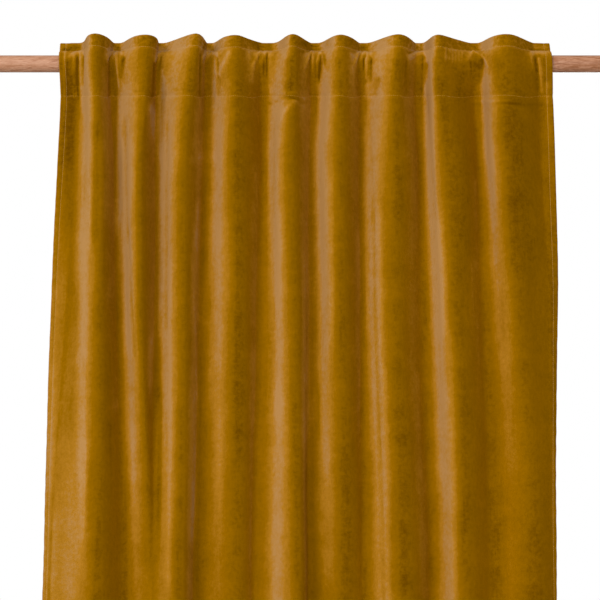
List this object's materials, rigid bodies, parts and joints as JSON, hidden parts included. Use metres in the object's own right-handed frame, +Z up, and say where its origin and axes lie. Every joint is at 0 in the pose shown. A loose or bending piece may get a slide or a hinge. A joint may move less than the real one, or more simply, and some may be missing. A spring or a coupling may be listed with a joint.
{
  "type": "velvet curtain on a wooden rod",
  "caption": "Gathered velvet curtain with a standing header and hidden back tabs, hung in deep upright folds on a round wooden rod.",
  "frame": {"origin": "middle of the rod's axis, where the wall brackets carry it", "axes": "+Z up, +X along the rod to the right as seen from the room, the face of the curtain looks toward -Y and its back toward the window at +Y"},
  "size_m": [1.2, 0.0742, 2.4025],
  "materials": {
    "velvet": "mustard cotton velvet, short pile with a tan sheen on the flanks that face the light",
    "tape": "plain woven cotton heading tape, matt",
    "wood": "oiled reddish oak with a fine straight grain"
  },
  "bodies": {
    "root": {"panel": "velvet", "heading_tape": "tape", "tab_01": "tape", "tab_02": "tape", "tab_03": "tape", "tab_04": "tape", "tab_05": "tape", "tab_06": "tape", "tab_07": "tape", "tab_08": "tape", "tab_09": "tape", "tab_10": "tape", "rod": "wood"}
  },
  "joints": []
}
